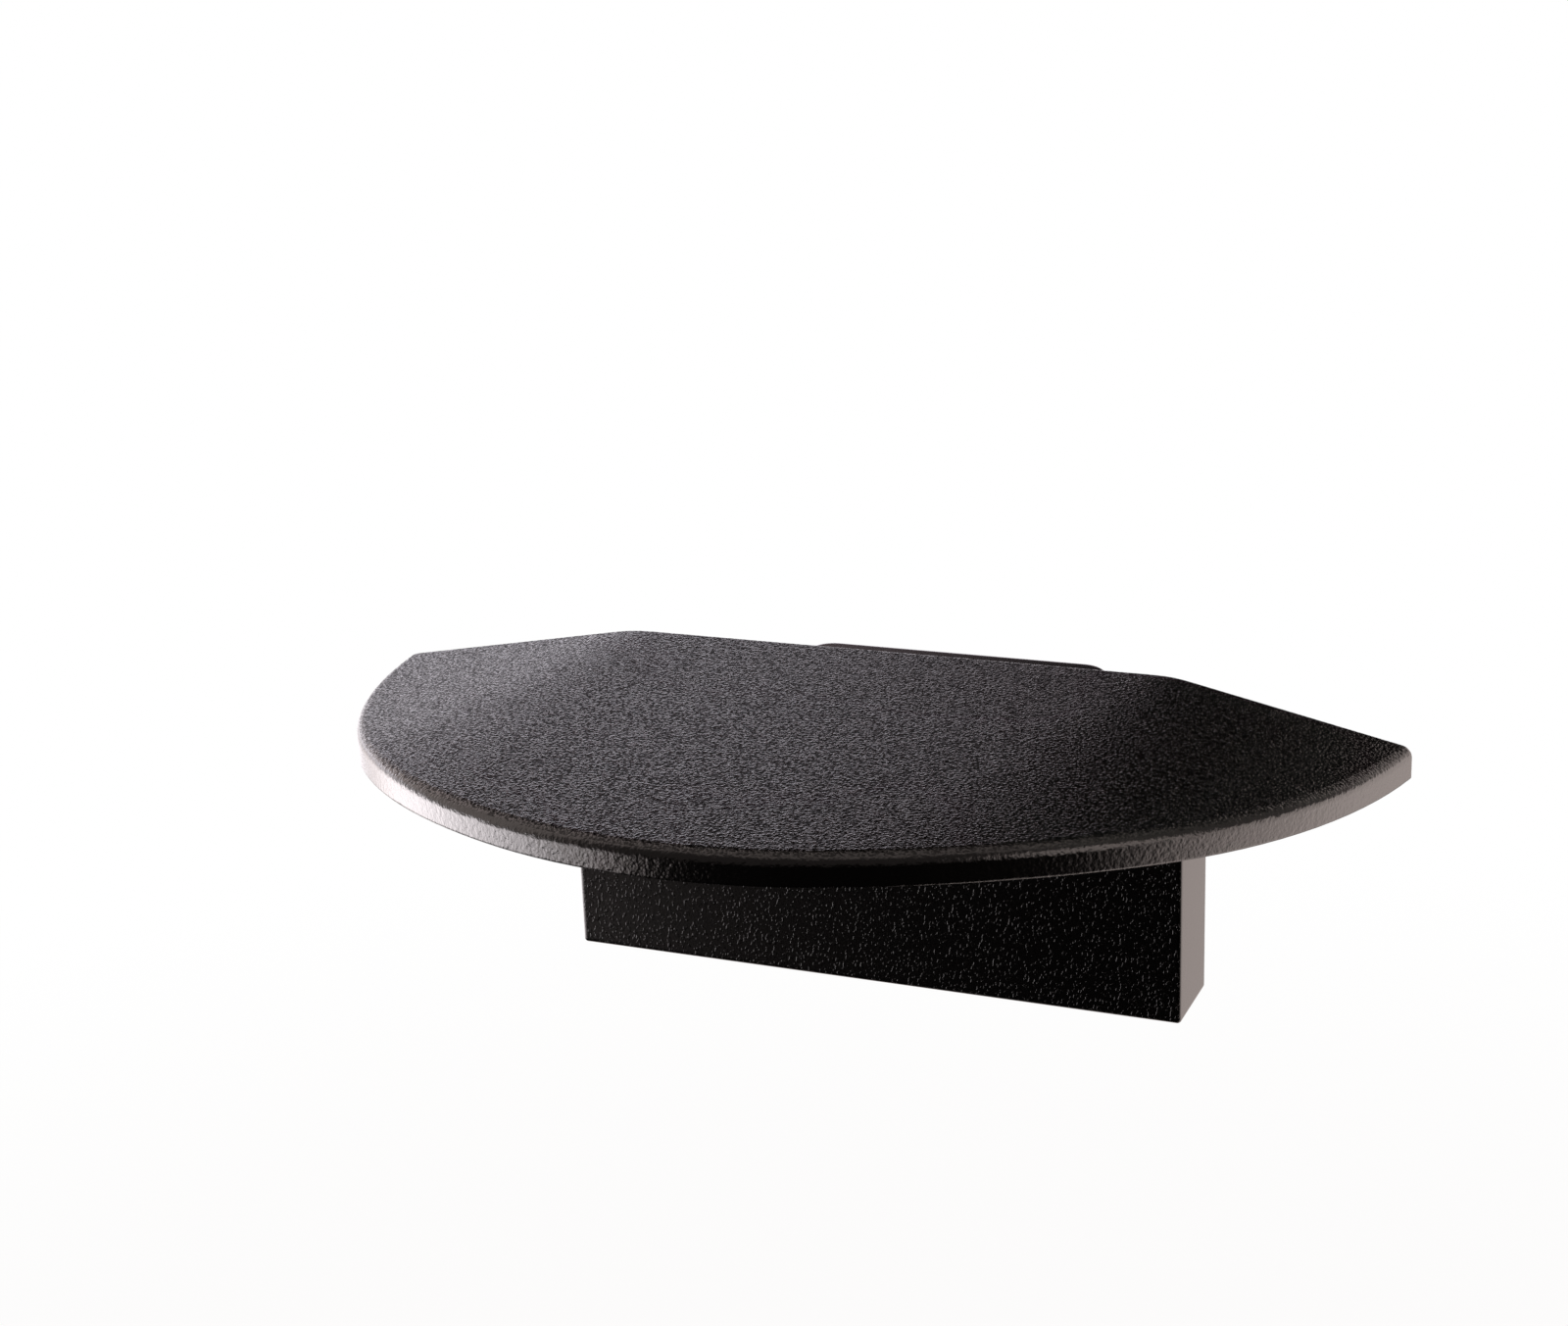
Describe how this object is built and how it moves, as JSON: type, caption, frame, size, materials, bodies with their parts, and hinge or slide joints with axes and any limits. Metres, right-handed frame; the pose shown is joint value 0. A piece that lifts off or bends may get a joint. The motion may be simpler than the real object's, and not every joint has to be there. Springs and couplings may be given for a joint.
{
  "type": "profile end cap",
  "caption": "Half-round plastic end cap for a hollow profile: a bent cover plate with a plug rib under its back edge and a flat tongue behind the plug.",
  "frame": {"origin": "middle of the plug where it leaves the plate, at the height of the plate's level underside, which seats on the end of the profile", "axes": "+X across the cap from tip to tip, -Y towards the foremost point of the plate, +Y the way the tongue reaches, -Z the way the plug is pushed in"},
  "size_m": [0.049, 0.0364, 0.015],
  "materials": {
    "black_plastic": "moulded black plastic with a fine spark-eroded grain on the plate and a coarser one on the plug's front"
  },
  "bodies": {
    "root": {"end_cap": "black_plastic"}
  },
  "joints": []
}
